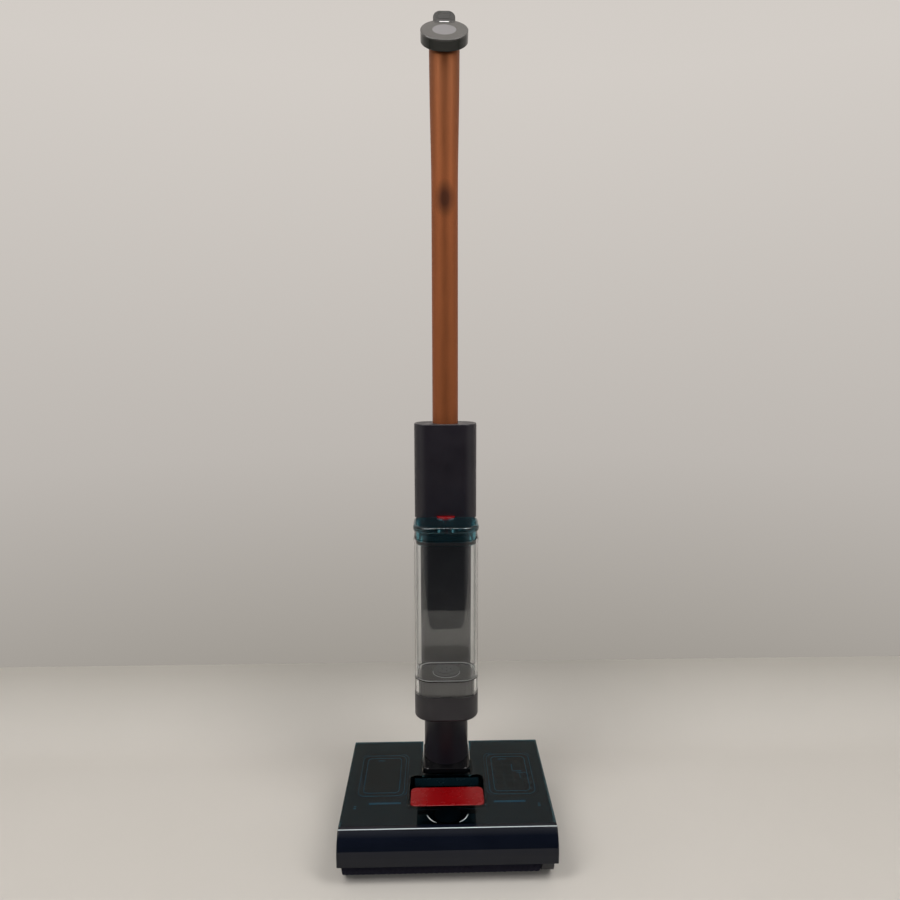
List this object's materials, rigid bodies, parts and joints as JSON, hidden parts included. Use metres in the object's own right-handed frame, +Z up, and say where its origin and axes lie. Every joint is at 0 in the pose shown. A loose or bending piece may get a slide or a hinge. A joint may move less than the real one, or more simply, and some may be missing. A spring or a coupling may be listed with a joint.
{
  "type": "cordless floor washer",
  "caption": "Upright cordless floor washer with a driven wet roller, lift-out dirty-water tank, clear water tank, reclining swivel neck and tubular handle.",
  "frame": {"origin": "on the floor under the middle of the machine's bounding box", "axes": "+Z up, -Y the front of the floor head, +X to the right seen from the front"},
  "size_m": [0.29, 0.238, 1.1611],
  "materials": {
    "smoked_teal": "glossy dark teal translucent plastic",
    "hood_teal": "glossy dark navy-teal plastic",
    "lid_teal": "glossy teal translucent plastic",
    "clear": "clear moulded plastic",
    "tub_black": "dark moulded plastic",
    "red": "glossy red plastic",
    "gloss_black": "glossy black plastic",
    "column_plastic": "satin dark aubergine plastic",
    "collar_plastic": "satin aubergine plastic",
    "chassis_plastic": "fine-textured black plastic",
    "copper": "satin copper anodised tube",
    "control_gloss": "glossy green-black plastic",
    "fascia_grey": "glossy grey plastic",
    "display": "glossy display window",
    "mark_white": "white light guide",
    "pile": "dark blue-violet microfibre pile",
    "rubber": "soft black rubber",
    "hose": "flexible translucent hose",
    "inner_plastic": "grey moulded plastic",
    "bearing": "acetal bearing plastic",
    "steel": "brushed steel",
    "gold": "gold-plated contact",
    "cell_wrap": "shrink-wrapped cell",
    "board": "circuit board"
  },
  "bodies": {
    "chassis": {"chassis": "chassis_plastic", "roller_hood": "hood_teal", "wheel_axles": "steel", "hinge_pins": "steel", "rear_squeegee": "rubber", "charging_contacts": "gold", "chassis_screws": "steel", "roller_end_cap": "chassis_plastic", "roller_motor": "steel", "gearbox": "steel", "hydration_bar": "inner_plastic", "scraper_blade": "rubber", "head_hose": "hose"},
    "roller": {"drive_hub": "inner_plastic", "roller_bearing": "bearing", "roller_core": "inner_plastic", "roller_sleeve": "pile"},
    "rear_wheel_left": {"rear_wheel_left": "chassis_plastic"},
    "rear_wheel_right": {"rear_wheel_right": "chassis_plastic"},
    "dirty_tank": {"dirty_tank_cover": "smoked_teal", "dirty_tank_tub": "tub_black", "tank_rim_seals": "rubber", "debris_strainer": "tub_black", "flap_pins": "steel"},
    "cover_latch": {"cover_latch": "gloss_black"},
    "release_flap": {"release_flap": "red"},
    "yoke": {"yoke": "gloss_black", "swivel_bush": "bearing"},
    "column": {"neck": "column_plastic", "swivel_retainer": "bearing", "collar": "collar_plastic", "valve_socket": "inner_plastic", "water_pump": "steel", "pump_bracket": "inner_plastic", "feed_hose": "hose", "outlet_hose": "hose", "spine_front": "column_plastic", "spine_rear": "column_plastic", "housing_front": "column_plastic", "housing_rear": "column_plastic", "battery_cells": "cell_wrap", "battery_carrier": "inner_plastic", "control_board": "board", "tube_sleeve": "inner_plastic", "wiring_loom": "hose", "handle_tube": "copper", "control_shell": "control_gloss", "control_fascia": "fascia_grey", "indicator_light": "mark_white", "display_lens": "display", "display_board": "board", "column_screws": "steel"},
    "power_button": {"power_button": "fascia_grey"},
    "clean_tank": {"clean_tank": "clear", "tank_valve": "inner_plastic", "valve_spring": "steel"},
    "valve_poppet": {"valve_poppet": "inner_plastic"},
    "tank_lid": {"tank_lid": "lid_teal", "lid_seal": "rubber"},
    "release_key": {"release_key": "red"}
  },
  "joints": [
    {"name": "roller_spin", "type": "hinge", "parent": "chassis", "child": "roller", "pos_m": [0, -0.086, 0.029], "axis": [1, 0, 0], "continuous": true},
    {"name": "wheel_spin_left", "type": "hinge", "parent": "chassis", "child": "rear_wheel_left", "pos_m": [-0.118, 0.0945, 0.009], "axis": [1, 0, 0], "continuous": true},
    {"name": "wheel_spin_right", "type": "hinge", "parent": "chassis", "child": "rear_wheel_right", "pos_m": [0.118, 0.0945, 0.009], "axis": [1, 0, 0], "continuous": true},
    {"name": "dirty_tank_lift", "type": "slide", "parent": "chassis", "child": "dirty_tank", "axis": [0, 0, 1], "range_m": [0, 0.06]},
    {"name": "flap_pull", "type": "hinge", "parent": "dirty_tank", "child": "release_flap", "pos_m": [0, -0.0485, 0.0635], "axis": [1, 0, 0], "range_deg": [0, 18], "stiffness_Nm_per_rad": 0.06, "springref_deg": -20.05},
    {"name": "latch_slide", "type": "slide", "parent": "dirty_tank", "child": "cover_latch", "axis": [0, 1, 0], "range_m": [0, 0.003]},
    {"name": "recline", "type": "hinge", "parent": "chassis", "child": "yoke", "pos_m": [0, 0.091, 0.044], "axis": [-1, 0, 0], "range_deg": [0, 80]},
    {"name": "swivel", "type": "hinge", "parent": "yoke", "child": "column", "pos_m": [0, 0.071, 0.066], "axis": [0, 0, 1], "range_deg": [-45, 45]},
    {"name": "button_press", "type": "slide", "parent": "column", "child": "power_button", "axis": [0, 0.9659, -0.2588], "range_m": [0, 0.0008], "stiffness_N_per_m": 400, "springref_m": -0.001},
    {"name": "clean_tank_lift", "type": "slide", "parent": "column", "child": "clean_tank", "axis": [0, 0, 1], "range_m": [0, 0.06]},
    {"name": "poppet_lift", "type": "slide", "parent": "clean_tank", "child": "valve_poppet", "axis": [0, 0, 1], "range_m": [0, 0.003], "stiffness_N_per_m": 150, "springref_m": -0.004, "deforming": ["valve_spring"]},
    {"name": "lid_lift", "type": "slide", "parent": "clean_tank", "child": "tank_lid", "axis": [0, 0, 1], "range_m": [0, 0.03]},
    {"name": "key_press", "type": "slide", "parent": "tank_lid", "child": "release_key", "axis": [0, 0, -1], "range_m": [0, 0.0015], "stiffness_N_per_m": 300, "springref_m": -0.002}
  ],
  "couplings": [
    {"joint": "latch_slide", "follows": "flap_pull", "m_per_rad": 0.0095}
  ]
}
